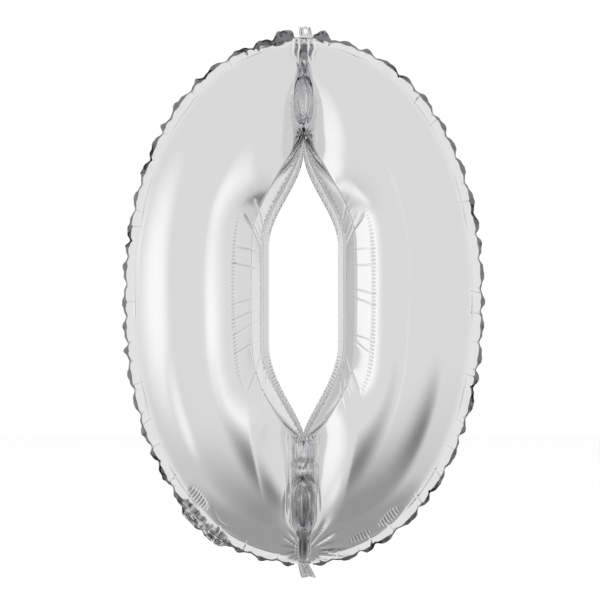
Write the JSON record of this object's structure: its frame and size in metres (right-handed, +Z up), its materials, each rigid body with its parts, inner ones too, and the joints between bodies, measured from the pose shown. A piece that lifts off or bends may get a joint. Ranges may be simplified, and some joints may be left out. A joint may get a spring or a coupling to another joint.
{
  "type": "foil number balloon",
  "caption": "Inflated silver foil balloon in the shape of the figure zero, with welded rims, a hanging tab and a self-sealing filling tail.",
  "frame": {"origin": "front face of the top hanging tab, on the centre line, just under its eyelet", "axes": "+X across the width, to the right seen from the front; +Z up; the front faces -Y"},
  "size_m": [0.522, 0.1974, 0.7815],
  "materials": {
    "silver_film": "mirror-bright metallised polyester film, drawn tight by the gas, with fine creases at the rims and pinches",
    "welded_film": "two metallised films heat welded together, crimped and scalloped, darker because it turns away from the light",
    "valve_film": "clear soft polythene film"
  },
  "bodies": {
    "balloon": {"front_film": "silver_film", "back_film": "silver_film", "outer_seal": "welded_film", "inner_seal": "welded_film", "valve_back_film": "valve_film"},
    "top_tab": {"top_hanging_tab": "welded_film"},
    "tail": {"tail_back_film": "silver_film"},
    "tail_lip": {"tail_front_film": "silver_film"},
    "valve_flap": {"valve_front_film": "valve_film"}
  },
  "joints": [
    {"name": "tab_fold", "type": "hinge", "parent": "balloon", "child": "top_tab", "pos_m": [0, 0, -0.0024], "axis": [1, 0, 0], "range_deg": [-70, 70], "stiffness_Nm_per_rad": 0.0001},
    {"name": "tail_fold", "type": "hinge", "parent": "balloon", "child": "tail", "pos_m": [0, 0, -0.7498], "axis": [1, 0, 0], "range_deg": [-70, 70]},
    {"name": "tail_mouth", "type": "hinge", "parent": "tail", "child": "tail_lip", "pos_m": [0, 0, -0.7498], "axis": [-1, 0, 0], "range_deg": [0, 15]},
    {"name": "valve_opening", "type": "hinge", "parent": "balloon", "child": "valve_flap", "pos_m": [0, 0, -0.748], "axis": [1, 0, 0], "range_deg": [0, 5], "stiffness_Nm_per_rad": 0.0001}
  ]
}
